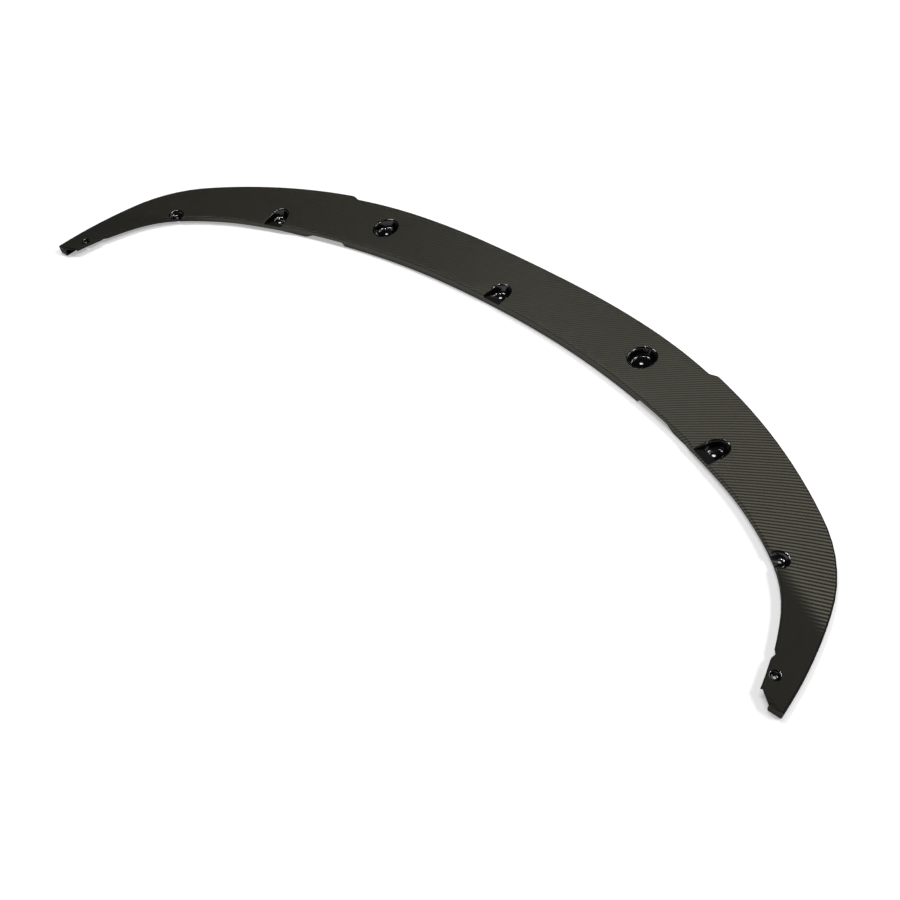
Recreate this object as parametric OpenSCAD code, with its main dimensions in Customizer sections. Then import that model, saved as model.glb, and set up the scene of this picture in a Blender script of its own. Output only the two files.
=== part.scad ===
// Front splitter lip for a car, one moulded carbon shell.
// It lies upside down: the flat face that looks at the road is up,
// and the flanges that meet the bumper are on the floor.

/* [Shell] */
// Height of the lip, from the bumper side to the road side
lip_h = 18; // [12:0.5:40]
// Thickness of the laminate
skin_t = 2.5; // [1.5:0.1:2.9]
// Outer radius of every moulded edge
edge_r = 3; // [2.95:0.05:5]

/* [Front edge] */
// Radius of the nearly flat middle of the front edge
front_r1 = 3480; // [2500:10:5000]
// Angle that the middle turns through on each side
front_a1 = 2; // [0.5:0.1:3]
// Radius between the middle and the wing
front_r2 = 1480; // [1200:10:2000]
// Angle that this stretch turns through
front_a2 = 6.7; // [4:0.1:9]
// Radius of the long sweep of the wing
front_r3 = 920; // [800:5:1000]
// Angle that the sweep turns through
front_a3 = 32.7; // [28:0.1:35]
// Radius of the front corner
front_r4 = 280; // [240:5:300]
// Angle that the corner turns through
front_a4 = 34.6; // [30:0.1:38]
// Radius of the side that runs back to the tip
front_r5 = 820; // [500:10:2000]
// Length of the side
front_side = 197; // [180:1:215]
// How far the middle of the front edge is set back from the wings
setback = 9.5; // [0:0.5:14]
// Distance along the front edge at which the setback ends
setback_at = 463; // [380:1:520]
// Length of the rounded step at the end of the setback
setback_run = 20; // [12:1:40]

/* [Rear edge] */
// Width of the lip in the middle
middle_w = 137; // [120:1:160]
// Radius of the middle of the rear edge
rear_r1 = 1970; // [1500:10:3000]
// Angle that the middle turns through on each side
rear_a1 = 3.8; // [2:0.1:6]
// Radius of the long sweep
rear_r2 = 1420; // [1200:10:1600]
// Angle that the sweep turns through
rear_a2 = 19.8; // [17:0.1:21]
// Radius between the sweep and the corner
rear_r3 = 454; // [420:2:500]
// Angle that this stretch turns through
rear_a3 = 21.2; // [18:0.1:23]
// Radius of the rear corner
rear_r4 = 233; // [200:1:260]
// Angle that the rear corner turns through
rear_a4 = 22.6; // [18:0.1:25]
// Radius of the side that runs back to the tip
rear_r5 = 607; // [500:1:900]
// Length of the side
rear_side = 128; // [110:1:140]
// How far the rear edge of a wing stands out past the middle
wing_out = 4; // [0:0.5:6]
// Distance along the rear edge at which a wing starts to stand out
wing_from = 500; // [480:1:515]
// Distance along the rear edge at which it starts to come back
wing_back = 660; // [600:5:700]
// How far the tab at the tip stands out from the rear edge
tab_out = 2; // [0:0.5:6]
// Distance along the rear edge at which the tab starts
tab_at = 946; // [900:1:955]
// Length of the slope up to the tab
tab_run = 14; // [8:1:24]
// Depth of the small notch in front of the tab
notch_in = 3.5; // [0:0.5:6]

/* [Flanges] */
// Height of the rear flange on the wings
wing_flange_h = 12.5; // [9:0.5:18]
// Distance along the rear edge over which the wing's flange keeps its height
flange_full = 720; // [600:5:760]
// Height of the rear flange where the tab starts
flange_tip_h = 7.5; // [7:0.5:12]
// Height of the rear flange on the tab
tab_flange_h = 5; // [4.5:0.5:6]
// Distance along the rear edge to the near end of the relief in the flange
relief_from = 377; // [350:1:400]
// Length of the relief
relief_l = 96; // [40:1:100]
// Height of the flange in the relief
relief_h = 10; // [7:0.5:12]
// Length of the slope at the near end of the relief
relief_run = 6; // [3:0.5:12]
// Length of the slope at the far end of the relief
relief_out_run = 19; // [3:0.5:24]
// Width of the closed bead under the front edge
bead_w = 22; // [14:0.5:26]

/* [Screw recesses] */
// Fillet where a recess meets the flat face
rim_r = 4; // [2:0.25:4.5]
// Fillet round the floor of a recess
floor_r = 6; // [2:0.5:7]
// Steepness of a recess's wall in degrees
wall_a = 68; // [60:1:80]
// Bore for the screw in a deep recess
screw_d = 7; // [4:0.1:10]
// Bore for the screw in a shallow recess
small_screw_d = 5.5; // [3:0.1:6]
// Half of the width of an oval recess, along the lip
oval_w = 27; // [24:0.5:30]
// Half of the length of an oval recess, across the lip
oval_l = 32; // [28:0.5:36]
// Distance of an oval recess along the rear edge
oval_at = 315; // [290:1:325]
// Distance of an oval recess from the rear edge
oval_in = 72; // [60:0.5:78]
// Half of the width of the slot in the middle
mid_w = 22.5; // [20:0.5:26]
// Length of the rounded end of the slot in the middle
mid_l = 25; // [20:0.5:30]
// Distance of the screw in the middle from the rear edge
mid_in = 28; // [26:0.5:34]
// Depth at which the slot in the middle runs out through the rear edge
mid_mouth = 6; // [3:0.5:8]
// Half of the width of a slot on the wings
wing_w = 22; // [20:0.5:25]
// Length of the rounded end of a slot on the wings
wing_l = 30; // [24:0.5:34]
// Distance of a wing slot along the rear edge
wing_at = 551; // [540:1:600]
// Distance of the screw in a wing slot from the rear edge
wing_in = 30; // [27:0.5:36]
// Depth at which a wing slot runs out through the rear edge
wing_mouth = 3.5; // [3:0.5:8]
// Half of the width of a shallow slot at the corners
corner_w = 17; // [15:0.5:20]
// Length of the rounded end of a corner slot
corner_l = 16; // [14:0.5:20]
// Distance of a corner slot along the rear edge
corner_at = 781; // [760:1:800]
// Distance of the screw in a corner slot from the rear edge
corner_in = 11; // [10:0.5:15]
// Depth of a corner slot
corner_depth = 8; // [6.5:0.5:9]
// Radius of the two shallow recesses at the tips
tip_r = 6.5; // [5:0.5:8]
// Distance of a tip recess along the rear edge
tip_at = 982; // [978:1:990]
// Distance of a tip recess from the rear edge
tip_in = 13; // [8:0.5:14]
// Depth of a tip recess
tip_depth = 6; // [5:0.5:8]

/* [Hidden] */
$fn = 64;
stations = 44;
round_steps = 3;
wall_steps = 2;
oval_points = 24;
slot_points = 14;
nearest = 0.0008;
cut = 1;
bore_run = 2 * lip_h;
inner_r = edge_r - skin_t;
deep = lip_h - skin_t;
wing_run = 30;
wing_return = 160;
notch_run = 9;
edge_past = 5;
seat = 1.5;
flat_back = screw_d / 2 + seat;

front_arcs = [
  [front_r1, front_a1],
  [front_r2, front_a2],
  [front_r3, front_a3],
  [front_r4, front_a4],
  [front_r5, turn(front_side, front_r5)]
];
rear_arcs = [
  [rear_r1, rear_a1],
  [rear_r2, rear_a2],
  [rear_r3, rear_a3],
  [rear_r4, rear_a4],
  [rear_r5, turn(rear_side, rear_r5)]
];
front_l = run_of(front_arcs);
rear_l = run_of(rear_arcs);
tip_y = edge_at(front_arcs, front_l, 0)[1];
// The middle of the length in y, so that the origin is under the centre of the lip
centre_y = (tip_y - setback) / 2;

// Angle of an arc of a given length
function turn(length, r) = length / r * 180 / PI;

// Length of a chain of arcs
function run_of(arcs, i = 0) =
  i == len(arcs) ? 0 : arcs[i][0] * arcs[i][1] * PI / 180 + run_of(arcs, i + 1);

// Place and heading at distance s along a chain of tangent arcs that starts at (x, y)
function edge_at(arcs, s, y, x = 0, h = 0, i = 0) =
  let (r = arcs[i][0], a = arcs[i][1], l = r * a * PI / 180)
  s <= l || i == len(arcs) - 1
    ? let (g = h + turn(s, r)) [x + r * (sin(g) - sin(h)), y - r * (cos(h) - cos(g)), g]
    : let (g = h + a)
      edge_at(arcs, s - l, y - r * (cos(h) - cos(g)), x + r * (sin(g) - sin(h)), g, i + 1);

// Smooth change from 0 to 1 as s passes from a to b
function ease(s, a, b) =
  let (u = min(1, max(0, (s - a) / (b - a)))) (1 - cos(180 * u)) / 2;

// Straight change from 0 to 1 as s passes from a to b
function slope(s, a, b) = min(1, max(0, (s - a) / (b - a)));

// Point that lies d to the front of a place on an edge
function ahead(p, d) = [p[0] + d * sin(p[2]), p[1] + d * cos(p[2]), p[2]];

// The finished front edge, with its setback in the middle
function front_at(s) =
  ahead(
    edge_at(front_arcs, s, -centre_y),
    -setback * (1 - ease(s, setback_at - setback_run / 2, setback_at + setback_run / 2))
  );

// The finished rear edge, with its wings, and the notch and the tab at the tip
function rear_at(s) =
  ahead(
    edge_at(rear_arcs, s, -centre_y - setback - middle_w),
    notch_in * max(0, 1 - abs(s - tab_at) / notch_run)
      - tab_out * ease(s, tab_at, tab_at + tab_run)
      - wing_out * (ease(s, wing_from, wing_from + wing_run)
        - ease(s, wing_back, wing_back + wing_return))
  );

// Height of the rear flange at distance s along the rear edge
function flange_h(s) =
  let (
    wing = lip_h + (wing_flange_h - lip_h) * slope(s, wing_from, wing_from + wing_run),
    full = wing + (flange_tip_h - wing) * slope(s, flange_full, tab_at),
    relief = slope(s, relief_from, relief_from + relief_run)
      * (1 - slope(s, relief_from + relief_l - relief_out_run, relief_from + relief_l)),
    low = full + (relief_h - full) * relief
  )
  low + (tab_flange_h - low) * slope(s, tab_at, tab_at + tab_run);

// Sorted list with near repeats left out
function sorted(v) =
  len(v) < 2 ? v :
  let (p = v[floor(len(v) / 2)])
  concat(
    sorted([for (x = v) if (x < p - nearest) x]),
    [p],
    sorted([for (x = v) if (x > p + nearest) x])
  );

// Share of the length at which the wall that closes the bead starts
closed_share = 1 - skin_t / front_l;

// Shares of the length from the middle to the tip at which the shell has a section
half_shares = sorted(concat(
  [for (i = [0:stations]) i / stations],
  [for (i = [0:6]) (setback_at + (i / 6 - 0.5) * setback_run) / front_l],
  [for (a = [0, relief_run, relief_l - relief_out_run, relief_l]) (relief_from + a) / rear_l],
  [for (i = [0:3]) (wing_from + i / 3 * wing_run) / rear_l],
  [for (a = [-notch_run, 0, notch_run, tab_run]) (tab_at + a) / rear_l],
  [closed_share - 1 / stations / 8, closed_share]
));
shares = concat(
  [for (i = [len(half_shares) - 1:-1:1]) -half_shares[i]],
  half_shares
);

// Mirror image of a place for the other side of the car
function sided(p, share) = share < 0 ? [-p[0], p[1], -p[2]] : p;

// Point of a section: a flat place moved d to the front, at height z
function lift(p, d, z) = let (q = ahead(p, d)) [q[0], q[1], z];

// Rounded corner of radius r, as offsets along a section and up it
function corner(r, from, to) =
  [for (i = [0:round_steps])
    let (a = from + (to - from) * i / round_steps) [r * cos(a), r * sin(a)]];

// Inner face of the laminate round the bead, which closes across it at the tips
function bead_face(f, closed) =
  closed
    ? [for (i = [0:2 * round_steps + 1])
        lift(f, -bead_w - skin_t / 2, lip_h - skin_t + (2 * skin_t - lip_h) * i / (2 * round_steps + 2))]
    : concat(
        [for (c = corner(inner_r, 90, 0)) lift(f, -edge_r + c[0], lip_h - edge_r + c[1])],
        [for (c = corner(inner_r, 0, -90)) lift(f, -edge_r + c[0], edge_r + c[1])]
      );

// Section of the laminate as a strip: outer face first, then the inner face in the same order
function section(share) =
  let (
    s = abs(share),
    r = sided(rear_at(s * rear_l), share),
    f = sided(front_at(s * front_l), share),
    foot = lip_h - flange_h(s * rear_l),
    top = lip_h - edge_r
  )
  concat(
    [lift(r, 0, foot)],
    [for (c = corner(edge_r, 180, 90)) lift(r, edge_r + c[0], top + c[1])],
    [for (c = corner(edge_r, 90, 0)) lift(f, -edge_r + c[0], top + c[1])],
    [for (c = corner(edge_r, 0, -90)) lift(f, -edge_r + c[0], edge_r + c[1])],
    [lift(f, -bead_w, 0)],
    [lift(r, skin_t, foot)],
    [for (c = corner(inner_r, 180, 90)) lift(r, edge_r + c[0], top + c[1])],
    bead_face(f, s >= closed_share - 1e-9),
    [lift(f, -bead_w, skin_t)]
  );

// Side faces between rings of n points each
function sides(rings, n) =
  [for (k = [0:rings - 2], i = [0:n - 1])
    let (a = k * n + i, b = k * n + (i + 1) % n)
    [a, b, b + n, a + n]];

// The laminate, swept from one tip to the other
module laminate() {
  rings = [for (u = shares) section(u)];
  n = len(rings[0]);
  h = n / 2;
  order = concat([for (i = [0:h - 1]) i], [for (i = [n - 1:-1:h]) i]);
  points = [for (r = rings, i = order) r[i]];
  last = (len(rings) - 1) * n;
  ends = [for (k = [0, last], i = [0:h - 2])
    let (q = [k + i, k + i + 1, k + n - 2 - i, k + n - 1 - i])
    k > 0 ? q : [q[3], q[2], q[1], q[0]]];
  quads = concat(sides(len(rings), n), ends);
  polyhedron(
    points,
    [for (q = quads, t = [[q[0], q[1], q[2]], [q[0], q[2], q[3]]]) t],
    convexity = 10
  );
}

// Puts its children at a place along the rear edge, d in from it, on both sides of the car
module along_rear(s, d, both = true) {
  p = ahead(rear_at(s), d);
  for (side = both ? [1, -1] : [1]) {
    translate([side * p[0], p[1], 0])
      rotate([0, 0, -side * p[2]])
        children();
  }
}

// Rows down the wall of a recess from its rim to its floor: distance in, depth and slope
function wall_rows(depth) =
  let (
    rim = min(rim_r, depth / 2),
    fr = min(floor_r, (depth - rim * (1 - cos(wall_a))) / (1 - cos(wall_a)) - seat),
    run = (depth - (rim + fr) * (1 - cos(wall_a))) / tan(wall_a),
    last = (rim + fr) * sin(wall_a) + run
  )
  concat(
    [for (i = [0:round_steps])
      let (a = wall_a * i / round_steps) [rim * sin(a), rim * (1 - cos(a)), a]],
    [for (i = [wall_steps:-1:0])
      let (a = wall_a * i / wall_steps) [last - fr * sin(a), depth - fr * (1 - cos(a)), a]]
  );

// Outline of an oval recess: share of its width, share of its length, a fixed place and share of its depth
oval = [for (i = [0:oval_points - 1])
  let (a = (i + 0.5) * 360 / oval_points - 90) [cos(a), sin(a), 0, 1]];

// The same for a slot whose floor is flat to back, then ramps up to a mouth at from_edge and runs on past it
function slotted(back, from_edge, mouth, past) =
  let (ends = concat(past > 0 ? [from_edge + past] : [], [from_edge]))
  concat(
    [for (y = ends) [1, 0, -y, mouth]],
    [[1, 0, -back, 1]],
    [for (i = [0:slot_points - 1])
      let (a = 180 * i / (slot_points - 1)) [cos(a), sin(a), 0, 1]],
    [[-1, 0, -back, 1]],
    [for (k = [len(ends) - 1:-1:0]) [-1, 0, -ends[k], mouth]]
  );

// One row of points round a recess w and l
function row(outline, w, l, step) =
  [for (o = outline)
    let (d = step[0] * o[3])
    [o[0] * (w - d), o[2] + o[1] * (l - d), lip_h - step[1] * o[3]]];

// Solid between rows of n points, closed across its top and its floor
module solid_rows(rows) {
  n = len(rows[0]);
  last = (len(rows) - 1) * n;
  caps = [for (j = [0:n / 2 - 2])
    let (q = [j, j + 1, n - 2 - j, n - 1 - j])
    each [[q[3], q[2], q[1], q[0]], [for (i = q) i + last]]];
  walls = [for (k = [0:len(rows) - 2], j = [0:n - 1])
    let (a = k * n + j, b = k * n + (j + 1) % n)
    [a, b, b + n, a + n]];
  polyhedron(
    [for (r = rows) each r],
    [for (q = concat(caps, walls), f = [[q[0], q[1], q[2]], [q[0], q[2], q[3]]]) f],
    convexity = 6
  );
}

// Space of a recess, whose first facet runs on above the flat face
module hollow(outline, w, l, depth) {
  steps = wall_rows(depth);
  rows = concat([-steps[1]], [for (k = [1:len(steps) - 1]) steps[k]]);
  solid_rows([for (r = rows) row(outline, w, l, r)]);
}

// Laminate round a recess, from inside the flat face down, before the space is cut out of it
module shell(outline, w, l, depth) {
  out = skin_t / sin(wall_a);
  steps = wall_rows(depth + skin_t);
  rim = steps[round_steps];
  top = [rim[0] - (rim[1] - skin_t / 2) / tan(wall_a), skin_t / 2];
  rows = concat([top], [for (k = [round_steps + 1:len(steps) - 1]) steps[k]]);
  solid_rows([for (r = rows) row(outline, w + out, l + out, r)]);
}

// A slot's space, which runs out through the rear edge at from_edge
module slot_space(w, l, depth, back, from_edge, mouth) {
  hollow(slotted(back, from_edge, mouth / depth, edge_past), w, l, depth);
}

// Laminate round a slot, which ends inside the rear flange
module slot_shell(w, l, depth, back, from_edge, mouth) {
  to = from_edge - skin_t / 2;
  low = depth - (depth - mouth) * (to - back) / (from_edge - back);
  shell(slotted(back, to, (low + skin_t) / (depth + skin_t), 0), w, l, depth);
}

// Half profile of the space in a small round recess, with a filleted floor and a flared rim
module cup_space(r, depth) {
  rim = min(rim_r, depth / 2);
  fr = min(floor_r, depth - rim, r - seat);
  base = lip_h - depth;
  rotate_extrude()
    polygon(concat(
      [[0, base]],
      [for (a = [-90:15:0]) [r - fr + fr * cos(a), base + fr + fr * sin(a)]],
      [for (a = [180:-15:90]) [r + rim + rim * cos(a), lip_h - rim + rim * sin(a)]],
      [[r + rim, lip_h + cut], [0, lip_h + cut]]
    ));
}

// Laminate round a small round recess
module cup(r, depth) {
  fr = min(floor_r, depth - min(rim_r, depth / 2), r - seat) + skin_t;
  base = lip_h - depth - skin_t;
  rotate_extrude()
    polygon(concat(
      [[0, base]],
      [for (a = [-90:15:0]) [r + skin_t - fr + fr * cos(a), base + fr + fr * sin(a)]],
      [[r + skin_t, lip_h - skin_t / 2], [0, lip_h - skin_t / 2]]
    ));
}

// Keeps its children inside the rear flange
module inside_rear(d) {
  w = 5 * lip_h;
  difference() {
    children();
    translate([-w, skin_t / 2 - d - 2 * w, -lip_h])
      cube([2 * w, 2 * w, 3 * lip_h]);
  }
}

module bore(d) {
  translate([0, 0, -lip_h]) cylinder(d = d, h = bore_run);
}

// Laminate round every recess
module cups() {
  along_rear(oval_at, oval_in) shell(oval, oval_w, oval_l, deep);
  along_rear(0, mid_in, false) slot_shell(mid_w, mid_l, deep, flat_back, mid_in, mid_mouth);
  along_rear(wing_at, wing_in) slot_shell(wing_w, wing_l, deep, flat_back, wing_in, wing_mouth);
  along_rear(corner_at, corner_in)
    slot_shell(corner_w, corner_l, corner_depth, flat_back, corner_in, corner_depth);
  along_rear(tip_at, tip_in) inside_rear(tip_in) cup(tip_r, tip_depth);
}

// Space of every recess, with its screw bore
module recesses() {
  along_rear(oval_at, oval_in) {
    hollow(oval, oval_w, oval_l, deep);
    bore(screw_d);
  }
  along_rear(0, mid_in, false) {
    slot_space(mid_w, mid_l, deep, flat_back, mid_in, mid_mouth);
    bore(screw_d);
  }
  along_rear(wing_at, wing_in) {
    slot_space(wing_w, wing_l, deep, flat_back, wing_in, wing_mouth);
    bore(screw_d);
  }
  along_rear(corner_at, corner_in) {
    slot_space(corner_w, corner_l, corner_depth, flat_back, corner_in, corner_depth);
    bore(small_screw_d);
  }
  along_rear(tip_at, tip_in) {
    cup_space(tip_r, tip_depth);
    bore(small_screw_d);
  }
}

module splitter_lip() {
  color("#2e2d2a")
    difference() {
      union() {
        laminate();
        cups();
      }
      recesses();
    }
}

splitter_lip();
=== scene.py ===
import math

import bpy
from mathutils import Matrix, Vector


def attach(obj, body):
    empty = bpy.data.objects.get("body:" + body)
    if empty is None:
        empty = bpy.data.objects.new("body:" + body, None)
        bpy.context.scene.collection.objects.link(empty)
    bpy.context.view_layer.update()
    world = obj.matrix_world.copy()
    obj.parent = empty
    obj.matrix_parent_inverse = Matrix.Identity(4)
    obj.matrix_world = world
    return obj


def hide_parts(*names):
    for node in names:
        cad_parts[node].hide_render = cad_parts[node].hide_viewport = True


bl_info = {
    "name": "Carbon Front Splitter Lip",
    "version": (1, 0, 0),
    "blender": (4, 5, 0),
    "location": "3D View > Sidebar > Lip",
    "description": "A front splitter lip laid up in carbon twill, on a plain studio floor",
    "category": "Object",
}

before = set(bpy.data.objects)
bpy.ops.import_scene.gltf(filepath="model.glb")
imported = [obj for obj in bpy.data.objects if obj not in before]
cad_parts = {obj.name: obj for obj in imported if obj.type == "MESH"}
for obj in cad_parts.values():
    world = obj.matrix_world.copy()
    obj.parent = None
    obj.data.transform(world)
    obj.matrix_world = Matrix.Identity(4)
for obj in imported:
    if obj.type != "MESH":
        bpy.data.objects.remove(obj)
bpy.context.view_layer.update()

LIP = "splitter_lip"
PIECE = "carbon_lip"
CLOTH = "cloth"

# Material places on the lip, in the order in which they are appended.
TWILL, LACQUER, BLACK_MATT = range(3)

# Screw recesses on one side, in metres and degrees: place, turn of the rear edge there, half width, reach to
# the rear, reach to the front, and where a slot's flat floor ends and its ramp to the rear edge starts.
RECESSES = (
    ((0.0, 0.1737), 0.0, 0.0230, 0.040, 0.0255, 0.005),
    ((0.3272, 0.1879), 11.24, 0.0275, 0.033, 0.0325, 0.040),
    ((0.5490, 0.0766), 20.76, 0.0225, 0.040, 0.0305, 0.005),
    ((0.7443, -0.0548), 43.75, 0.0175, 0.020, 0.0165, 0.005),
    ((0.8356, -0.2373), 76.91, 0.0097, 0.0097, 0.0097, 0.020),
)
# Heights of a face's normal. At least the first is a floor or a ramp in a recess, and a wall is lower. From the
# second up a face is level, above the third it is open to the sky, and below the last it is underneath.
RAMP_RISE, LEVEL_RISE, OPEN_RISE, UNDER_RISE = 0.8, 0.9995, 0.05, -0.05
# A recess face lies at least this far below the flat face, in metres.
SUNK_BELOW = 0.00001

# Vertices nearer than this, in metres, are the same corner of the solid.
WELD = 0.000002
# Faces that meet at less than this many degrees shade as one surface.
SMOOTH_BELOW = 35
# How much more the large faces count than the small ones in the even shading; 50 is alike.
LARGE_FACE_WEIGHT = 80
# A wall leans out of the flat by more than 30 degrees; this is the sine.
WALL_LEAN = 0.5
# A place behind the middle of the lip, from which the front edge looks outward and the rear wall inward.
BEHIND = Vector((0.0, -0.35))

# Heights on the cloth, in metres, between which both sets of tows go from painted shade and dull to lit.
DULL_AT, LIT_AT = 0.04, 0.075
# Distances from the middle, in metres, between which the painted sheen on the right wing grows.
WING_SHEEN_FROM, WING_SHEEN_TO = 0.26, 0.84
# Roughness of the satin lacquer: on a lit tow, on a sunk one, and where the cloth is dull.
SATIN, SUNK, DULL = 0.42, 1.0, 0.9
# Filament streaks on one tow: how many across it and along it, the middle part of the noise that makes them, the
# share of the tow's colour in a dark and a light one, and how far they change the roughness either way.
STREAKS_ACROSS, STREAKS_ALONG = 5.0, 0.25
STREAK_LOW, STREAK_HIGH = 0.25, 0.75
STREAK_DARK, STREAK_LIGHT = 0.55, 1.45
STREAK_RUB = 0.16
# Length of one brush flow in the lacquer of the recesses, in metres.
BRUSH_FLOW = 0.00625

# The floor card: its side in metres, and the strength of the light that only the eye and the gloss see on it.
FLOOR_SIZE = 40
FLOOR_LIFT = 0.38
# The room: heights of the view between which the walls end, the light of the walls and of the ceiling, the way
# along the floor to the camera's side, and the share of the walls' light on the far side.
WALLS_FROM, WALLS_TO = 0.08, 0.42
WALL_LIGHT, CEILING_LIGHT = 0.85, 0.04
CAMERA_SIDE = (0.38, -0.92, 0.0)
FAR_SHARE = 0.05

# Lamps: name, direction from the lip, size in metres and power in watts, all at one distance.
# The glints in the recesses and the shades along the flat face give the directions.
LAMP_DISTANCE = 12.0
LAMPS = (
    ("left_panel", (-0.40, 0.16, 0.90), (3.0, 2.0), 440.0),
    ("overhead_spot", (-0.13, 0.30, 0.94), (0.8, 0.6), 195.0),
    ("right_window", (0.55, 0.40, 0.73), (3.0, 2.2), 450.0),
    ("far_window", (0.35, 0.72, 0.60), (4.0, 2.0), 190.0),
    ("far_strip", (0.0, 0.58, 0.81), (1.1, 0.35), 17.0),
)

# The camera, in metres, degrees and millimetres, from the photo's perspective.
CAMERA_PLACE = (0.97413, -0.99934, 1.36693)
CAMERA_TURN = (39.58115, 3.53706, 40.37485)
CAMERA_LENS, CAMERA_SENSOR = 40, 36
CAMERA_REACH = 100


def linear(text):
    """An sRGB hex colour as the linear red, green, blue and alpha that a shader takes."""
    parts = [int(text[i : i + 2], 16) / 255 for i in (1, 3, 5)]
    return [c / 12.92 if c <= 0.04045 else ((c + 0.055) / 1.055) ** 2.4 for c in parts] + [1.0]


def add_node(tree, kind, links=(), **settings):
    """Adds a node, sets its own settings, and gives each named or numbered input a value or a link."""
    made = tree.nodes.new(kind)
    for name, value in settings.items():
        setattr(made, name, value)
    for name, value in dict(links).items():
        if isinstance(value, bpy.types.NodeSocket):
            tree.links.new(value, made.inputs[name])
        else:
            made.inputs[name].default_value = value
    return made


class LipSizes(bpy.types.PropertyGroup):
    """The sizes of the cloth and of the drape that a user would change."""

    tow: bpy.props.FloatProperty(
        name="Tow width",
        description="Width of one flat bundle of filaments in the twill",
        default=0.0018,
        min=0.0005,
        max=0.006,
        unit="LENGTH",
        precision=4,
    )
    drape_slope: bpy.props.FloatProperty(
        name="Drape slope",
        description="How far the lengthwise tows lean back at the drape place",
        default=0.25,
        min=0.0,
        max=1.0,
    )
    drape_at: bpy.props.FloatProperty(
        name="Drape place",
        description="Distance from the middle at which the lean is measured",
        default=0.53,
        unit="LENGTH",
    )
    relief: bpy.props.FloatProperty(
        name="Weave relief",
        description="Height of a tow's crown over the dip beside it",
        default=0.00006,
        unit="LENGTH",
        precision=6,
    )


def colour(name, description, shade):
    """A colour setting whose default is an sRGB hex colour."""
    return bpy.props.FloatVectorProperty(
        name=name,
        description=description,
        subtype="COLOR",
        size=4,
        min=0.0,
        max=1.0,
        default=linear(shade),
    )


class LipColours(bpy.types.PropertyGroup):
    """The colours of the laminate, the recesses and the floor."""

    # Painted sheen: the warp is painted lighter than the weft, over the carbon's own black, for the shine of the
    # tows along the lip.
    warp_with_sheen: colour("Warp", "Carbon tows that run along the lip", "#32312a")
    weft: colour("Weft", "Carbon tows that run across the lip", "#0e0e0c")
    # Painted highlight and painted shade: at the far end of the right wing the warp is painted lighter and the
    # weft near black, for the lamps' sheen there.
    wing_warp_highlight: colour("Wing warp", "Tows along the lip at the far end of the right wing", "#4a483d")
    wing_weft_shade: colour("Wing weft", "Tows across the lip at the far end of the right wing", "#020202")
    # Painted shade: one dark colour for both sets of tows behind the corner, where the lamps' sheen doesn't reach.
    shaded_tows: colour("Dull tows", "Both sets of tows where the cloth turns from the lamps", "#0b0b0a")
    # One black for the recesses and for the front edge's rounding; on the edge it is painted shade for the dark
    # line there.
    recess_black_and_edge_shade: colour("Recess black", "Black epoxy in the recesses and on the front edge", "#080808")
    floor: colour("Floor", "White studio floor", "#fbfbfb")


def start_material(name):
    """A new material and its node tree, which is empty."""
    material = bpy.data.materials.new(name)
    material.use_nodes = True
    material.node_tree.nodes.clear()
    return material, material.node_tree


def math_node(tree, operation, first, second=None):
    """A sum on one or two values; gives back the result's socket."""
    links = {0: first} if second is None else {0: first, 1: second}
    return add_node(tree, "ShaderNodeMath", links, operation=operation).outputs[0]


def spread(tree, value, low, high, to_low, to_high, **settings):
    """Lays the range from low to high onto another range; gives back the result's socket."""
    links = dict(enumerate((value, low, high, to_low, to_high)))
    return add_node(tree, "ShaderNodeMapRange", links, **settings).outputs[0]


def blend(tree, kind, share, first, second, **settings):
    """Mixes two values, vectors or colours by a share of the second; gives back the result's socket."""
    start, result = {"FLOAT": (2, 0), "VECTOR": (4, 1), "RGBA": (6, 2)}[kind]
    links = {0: share, start: first, start + 1: second}
    return add_node(tree, "ShaderNodeMix", links, data_type=kind, **settings).outputs[result]


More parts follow.
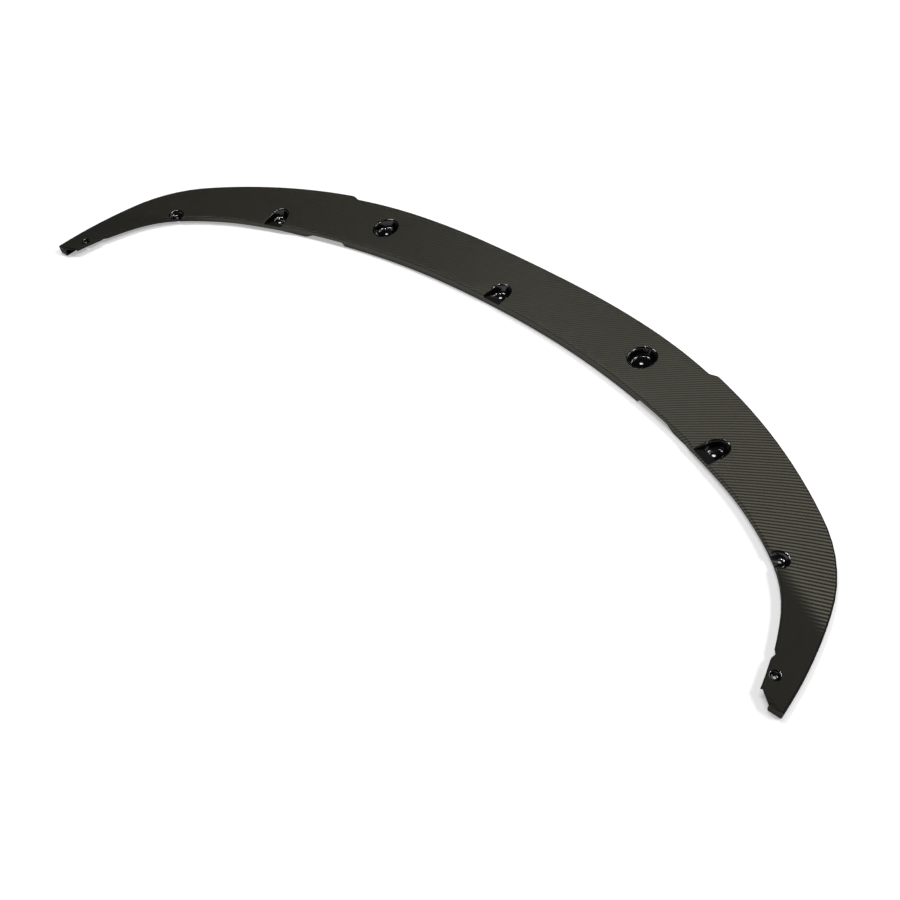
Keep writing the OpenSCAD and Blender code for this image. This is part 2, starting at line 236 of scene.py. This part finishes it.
def satin_twill(sizes, colours):
    """Carbon fibre prepreg, 2x2 twill, satin lacquered and rubbed down.

    Each tow shines across its filaments, so the crossing tows light up in turn and the weave shows as fine
    slanting lines under a low, even sheen."""
    material, tree = start_material("carbon_twill_satin_lacquered")
    cloth = add_node(tree, "ShaderNodeUVMap", uv_map=CLOTH).outputs[0]
    metres = add_node(tree, "ShaderNodeSeparateXYZ", {0: cloth}).outputs
    # Behind the corner, where the lamps' sheen doesn't reach, both sets of tows get one painted shade and a dull
    # roughness.
    lit = spread(tree, metres[1], DULL_AT, LIT_AT, 0.0, 1.0, interpolation_type="SMOOTHSTEP")
    # Out along the right wing the tows stand out more and more: painted highlight on the warp, painted shade on
    # the weft.
    wing_sheen = spread(tree, metres[0], WING_SHEEN_FROM, WING_SHEEN_TO, 0.0, 1.0)

    # The cloth map is in metres, so one tow is one unit after this scale.
    scale = {0: cloth, "Scale": 1 / sizes.tow}
    tows = add_node(tree, "ShaderNodeVectorMath", scale, operation="SCALE").outputs[0]
    along, across, _ = add_node(tree, "ShaderNodeSeparateXYZ", {0: tows}).outputs
    column = math_node(tree, "FLOOR", along)
    row = math_node(tree, "FLOOR", across)
    # A 2x2 twill goes over two and under two, one tow later on each next tow: the warp is up at turns 0 and 1.
    turn = math_node(tree, "FLOORED_MODULO", math_node(tree, "SUBTRACT", column, row), 4.0)
    warp_up = math_node(tree, "LESS_THAN", turn, 1.5)
    weft_up = math_node(tree, "SUBTRACT", 1.0, warp_up)

    # Place on the tow that is on top: across its width, and along the two crossings that it spans.
    warp_run = math_node(tree, "FLOORED_MODULO", math_node(tree, "SUBTRACT", along, row), 4.0)
    weft_from = math_node(tree, "SUBTRACT", math_node(tree, "SUBTRACT", across, column), 1.0)
    weft_run = math_node(tree, "FLOORED_MODULO", weft_from, 4.0)
    run = blend(tree, "FLOAT", warp_up, weft_run, warp_run)
    warp_width = math_node(tree, "FRACT", across)
    weft_width = math_node(tree, "FRACT", along)
    width = blend(tree, "FLOAT", warp_up, weft_width, warp_width)
    # A tow is crowned across its width, and rises and dips along the crossings.
    crown = math_node(tree, "SINE", math_node(tree, "MULTIPLY", width, math.pi))
    swell = math_node(tree, "SINE", math_node(tree, "MULTIPLY", run, math.pi / 2))
    height = math_node(tree, "MULTIPLY", math_node(tree, "POWER", crown, 0.5), swell)
    relief = {"Strength": 1.0, "Distance": sizes.relief, "Height": height}
    bump = add_node(tree, "ShaderNodeBump", relief).outputs[0]

    # The streaks are drawn far coarser than the real 7 micron filaments.
    on_weft = (STREAKS_ACROSS, STREAKS_ALONG, 0.0)
    on_warp = (STREAKS_ALONG, STREAKS_ACROSS, 0.0)
    stretch = blend(tree, "VECTOR", warp_up, on_weft, on_warp)
    streak_at = add_node(tree, "ShaderNodeVectorMath", {0: tows, 1: stretch}, operation="MULTIPLY").outputs[0]
    noise = {"Vector": streak_at, "Scale": 1.0, "Detail": 2.0, "Roughness": 0.6}
    streaks = add_node(tree, "ShaderNodeTexNoise", noise).outputs[0]

    # The tows' colours carry painted sheen, and on the right wing a painted highlight and a painted shade.
    warp_with_sheen = blend(tree, "RGBA", wing_sheen, colours.warp_with_sheen, colours.wing_warp_highlight)
    weft = blend(tree, "RGBA", wing_sheen, colours.weft, colours.wing_weft_shade)
    tow_colour = blend(tree, "RGBA", warp_up, weft, warp_with_sheen)
    lit_colour = blend(tree, "RGBA", lit, colours.shaded_tows, tow_colour)
    shade = spread(tree, streaks, STREAK_LOW, STREAK_HIGH, STREAK_DARK, STREAK_LIGHT)
    streaked = blend(tree, "RGBA", 1.0, lit_colour, shade, blend_type="MULTIPLY")

    # Where the sheen is painted on the right wing, the weft lies in the dips and shines the least.
    sunk = math_node(tree, "MULTIPLY", weft_up, wing_sheen)
    tow_gloss = spread(tree, sunk, 0.0, 1.0, SATIN, SUNK)
    gloss = spread(tree, lit, 0.0, 1.0, DULL, tow_gloss)
    # Some filaments lie deeper in the lacquer and shine less.
    rub = spread(tree, streaks, STREAK_LOW, STREAK_HIGH, -STREAK_RUB, STREAK_RUB)

    grain = add_node(tree, "ShaderNodeTangent", direction_type="UV_MAP", uv_map=CLOTH).outputs[0]
    surface = add_node(
        tree,
        "ShaderNodeBsdfPrincipled",
        {
            "Base Color": streaked,
            "Roughness": math_node(tree, "ADD", gloss, rub),
            "Anisotropic": 0.9,
            # A quarter turn lays the shine across the filaments of the warp.
            "Anisotropic Rotation": math_node(tree, "MULTIPLY", warp_up, 0.25),
            "Tangent": grain,
            "Normal": bump,
            "Specular IOR Level": 0.5,
            "Specular Tint": linear("#fffbe9"),
        },
    )
    add_node(tree, "ShaderNodeOutputMaterial", {0: surface.outputs[0]})
    return material


def recess_lacquer(colours):
    """Black epoxy lacquer, brushed thick into the moulded recesses and left glossy.

    It is almost black and mirrors the lamps as sharp small glints."""
    material, tree = start_material("black_lacquer_glossy")
    place = add_node(tree, "ShaderNodeTexCoord").outputs["Object"]
    # The brush flow bends the glints a little.
    noise = {"Vector": place, "Scale": 1 / BRUSH_FLOW, "Detail": 1.0}
    flow = add_node(tree, "ShaderNodeTexNoise", noise).outputs[0]
    relief = {"Strength": 0.35, "Distance": 0.0004, "Height": flow}
    surface = add_node(
        tree,
        "ShaderNodeBsdfPrincipled",
        {
            "Base Color": colours.recess_black_and_edge_shade,
            "Roughness": 0.15,
            "Normal": add_node(tree, "ShaderNodeBump", relief).outputs[0],
            "Coat Weight": 0.6,
            "Coat Roughness": 0.05,
        },
    )
    add_node(tree, "ShaderNodeOutputMaterial", {0: surface.outputs[0]})
    return material


def edge_shade_black_matt(colours):
    """Black matt on the rounded front edge, where it is painted shade for the dark line along that edge, and on
    the ramps of the slots.
    """
    material, tree = start_material("black_matt_painted_edge_shade")
    surface = add_node(
        tree,
        "ShaderNodeBsdfPrincipled",
        {"Base Color": colours.recess_black_and_edge_shade, "Roughness": 0.75, "Specular IOR Level": 0.2},
    )
    add_node(tree, "ShaderNodeOutputMaterial", {0: surface.outputs[0]})
    return material


def floor_card(colours):
    """Matt white studio card, rolled out flat, which takes soft grey shadows."""
    material, tree = start_material("studio_card_matt_white")
    card = add_node(tree, "ShaderNodeBsdfDiffuse", {"Color": colours.floor, "Roughness": 0.0})
    # A lift towards white that the eye and the gloss see, and that lights nothing.
    ray = add_node(tree, "ShaderNodeLightPath").outputs
    seen = math_node(tree, "MAXIMUM", ray["Is Camera Ray"], ray["Is Glossy Ray"])
    strength = math_node(tree, "MULTIPLY", seen, FLOOR_LIFT)
    lift = add_node(tree, "ShaderNodeEmission", {"Color": colours.floor, "Strength": strength})
    surface = add_node(tree, "ShaderNodeAddShader", {0: card.outputs[0], 1: lift.outputs[0]})
    add_node(tree, "ShaderNodeOutputMaterial", {0: surface.outputs[0]})
    return material


def studio_room():
    """White walls low down, brighter behind the camera, and a dark ceiling above them."""
    world = bpy.data.worlds.new("studio_room")
    world.use_nodes = True
    tree = world.node_tree
    tree.nodes.clear()
    way = add_node(tree, "ShaderNodeTexCoord").outputs["Generated"]
    rise = add_node(tree, "ShaderNodeSeparateXYZ", {0: way}).outputs[2]
    smooth = {"interpolation_type": "SMOOTHSTEP"}
    walls = spread(tree, rise, WALLS_FROM, WALLS_TO, WALL_LIGHT, CEILING_LIGHT, **smooth)
    facing = {0: way, 1: CAMERA_SIDE}
    near = add_node(tree, "ShaderNodeVectorMath", facing, operation="DOT_PRODUCT").outputs["Value"]
    side = spread(tree, near, -0.5, 0.5, FAR_SHARE, 1.0)
    level = math_node(tree, "MULTIPLY", walls, side)
    sky = add_node(tree, "ShaderNodeBackground", {"Color": linear("#ffffff"), "Strength": level})
    add_node(tree, "ShaderNodeOutputWorld", {0: sky.outputs[0]})
    return world


def deselect():
    """Leaves edit mode, and leaves nothing selected."""
    if bpy.context.object and bpy.context.object.mode != "OBJECT":
        bpy.ops.object.mode_set(mode="OBJECT")
    bpy.ops.object.select_all(action="DESELECT")


def lay_cloth(mesh, sizes):
    """Gives the mesh a cloth map in metres: the lip in plan, its walls folded out flat, and the cloth sheared back
    along the wings as it drapes round the curve."""
    top = max(v.co.z for v in mesh.vertices)
    cloth = mesh.uv_layers.new(name=CLOTH)
    lean = sizes.drape_slope / (3 * sizes.drape_at**2)
    for face in mesh.polygons:
        out = face.normal.xy
        flat = out.length < WALL_LEAN
        if not flat:
            out = out.normalized()
        for corner in face.loop_indices:
            at = mesh.vertices[mesh.loops[corner].vertex_index].co
            plan = at.xy if flat else at.xy + out * (top - at.z)
            cloth.data[corner].uv = (plan.x, plan.y + lean * abs(plan.x) ** 3)


def lacquered(at, rise):
    """Whether a place lies in a recess and is glossy. The ramps of the slots aren't."""
    for (x, y), turn, half, rear, front, flat in RECESSES:
        off = Vector((abs(at.x) - x, at.y - y))
        off.rotate(Matrix.Rotation(math.radians(turn), 2))
        if abs(off.x) < half and -rear < off.y < front:
            return rise < RAMP_RISE or off.y > -flat
    return False


def edge_or_ramp(at, way):
    """Whether a face gets the black matt: the rounding of the front edge, where it is painted shade, or the ramp
    of a slot. Both tip outward from the place behind the middle. Some upright walls under the lip do so too, where
    nobody sees them."""
    outward = way.xy.dot(at.xy - BEHIND)
    return outward > 0 and UNDER_RISE < way.z < LEVEL_RISE


def lay_materials(mesh, sizes, colours):
    """Gives the mesh its materials, and each face the one of its place."""
    for made in (satin_twill(sizes, colours), recess_lacquer(colours), edge_shade_black_matt(colours)):
        mesh.materials.append(made)
    top = max(v.co.z for v in mesh.vertices)
    for face in mesh.polygons:
        # Recess walls and floors look up and lie lower than the flat face.
        open_up = face.normal.z > OPEN_RISE and face.center.z < top - SUNK_BELOW
        if open_up and lacquered(face.center, face.normal.z):
            face.material_index = LACQUER
        # The front edge's rounding gets the black matt as painted shade; the ramps of the slots get it too.
        elif edge_or_ramp(face.center, face.normal):
            face.material_index = BLACK_MATT
        else:
            face.material_index = TWILL


class LIP_OT_laminate(bpy.types.Operator):
    """Makes the one-piece laminate from the fixed frame's solid and dresses it"""

    bl_idname = "lip.laminate"
    bl_label = "Carbon Lip"

    def execute(self, context):
        sizes, colours = context.scene.lip_sizes, context.scene.lip_colours
        deselect()
        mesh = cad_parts[LIP].data.copy()
        mesh.name = PIECE
        mesh.materials.clear()
        lip = bpy.data.objects.new(PIECE, mesh)
        context.scene.collection.objects.link(lip)
        context.view_layer.objects.active = lip
        lip.select_set(True)
        bpy.ops.object.mode_set(mode="EDIT")
        bpy.ops.mesh.select_all(action="SELECT")
        bpy.ops.mesh.remove_doubles(threshold=WELD)
        bpy.ops.object.mode_set(mode="OBJECT")
        bpy.ops.object.shade_smooth_by_angle(angle=math.radians(SMOOTH_BELOW))
        lay_cloth(mesh, sizes)
        lay_materials(mesh, sizes, colours)
        weighted = lip.modifiers.new("even_shading", "WEIGHTED_NORMAL")
        weighted.keep_sharp = True
        weighted.weight = LARGE_FACE_WEIGHT
        bpy.ops.object.modifier_apply(modifier=weighted.name)
        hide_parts(LIP)
        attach(lip, "root")
        return {"FINISHED"}


class LIP_OT_stage(bpy.types.Operator):
    """Makes the white floor, the lamps, the room and the camera"""

    bl_idname = "lip.stage"
    bl_label = "Studio"

    def execute(self, context):
        deselect()
        bpy.ops.mesh.primitive_plane_add(size=FLOOR_SIZE, location=(0, 0, 0))
        floor = context.object
        floor.name = "studio_floor"
        floor.data.materials.append(floor_card(context.scene.lip_colours))
        for name, way, size, power in LAMPS:
            deselect()
            place = Vector(way).normalized() * LAMP_DISTANCE
            bpy.ops.object.light_add(type="AREA", location=place)
            lamp = context.object
            lamp.name = name
            lamp.data.shape = "RECTANGLE"
            lamp.data.size, lamp.data.size_y = size
            lamp.data.energy = power
            lamp.rotation_euler = place.to_track_quat("Z", "Y").to_euler()
        context.scene.world = studio_room()
        turn = [math.radians(angle) for angle in CAMERA_TURN]
        bpy.ops.object.camera_add(location=CAMERA_PLACE, rotation=turn)
        camera = context.object
        camera.name = "photo_camera"
        camera.data.lens = CAMERA_LENS
        camera.data.sensor_width = CAMERA_SENSOR
        camera.data.clip_end = CAMERA_REACH
        context.scene.camera = camera
        context.scene.view_settings.view_transform = "Standard"
        return {"FINISHED"}


class LIP_PT_panel(bpy.types.Panel):
    """Lists the pieces of the lip and their settings"""

    bl_idname = "LIP_PT_panel"
    bl_label = "Front Splitter Lip"
    bl_space_type = "VIEW_3D"
    bl_region_type = "UI"
    bl_category = "Lip"

    def draw(self, context):
        column = self.layout.column()
        for made in (LIP_OT_laminate, LIP_OT_stage):
            column.operator(made.bl_idname, text=made.bl_label)
        for group in (context.scene.lip_sizes, context.scene.lip_colours):
            for name in group.bl_rna.properties.keys():
                if name not in ("rna_type", "name"):
                    column.prop(group, name)


CLASSES = (LipSizes, LipColours, LIP_OT_laminate, LIP_OT_stage, LIP_PT_panel)


def register():
    for made in CLASSES:
        bpy.utils.register_class(made)
    bpy.types.Scene.lip_sizes = bpy.props.PointerProperty(type=LipSizes)
    bpy.types.Scene.lip_colours = bpy.props.PointerProperty(type=LipColours)


def unregister():
    del bpy.types.Scene.lip_colours
    del bpy.types.Scene.lip_sizes
    for made in reversed(CLASSES):
        bpy.utils.unregister_class(made)


def main():
    register()
    bpy.ops.lip.laminate()
    bpy.ops.lip.stage()


if __name__ == "__main__":
    main()
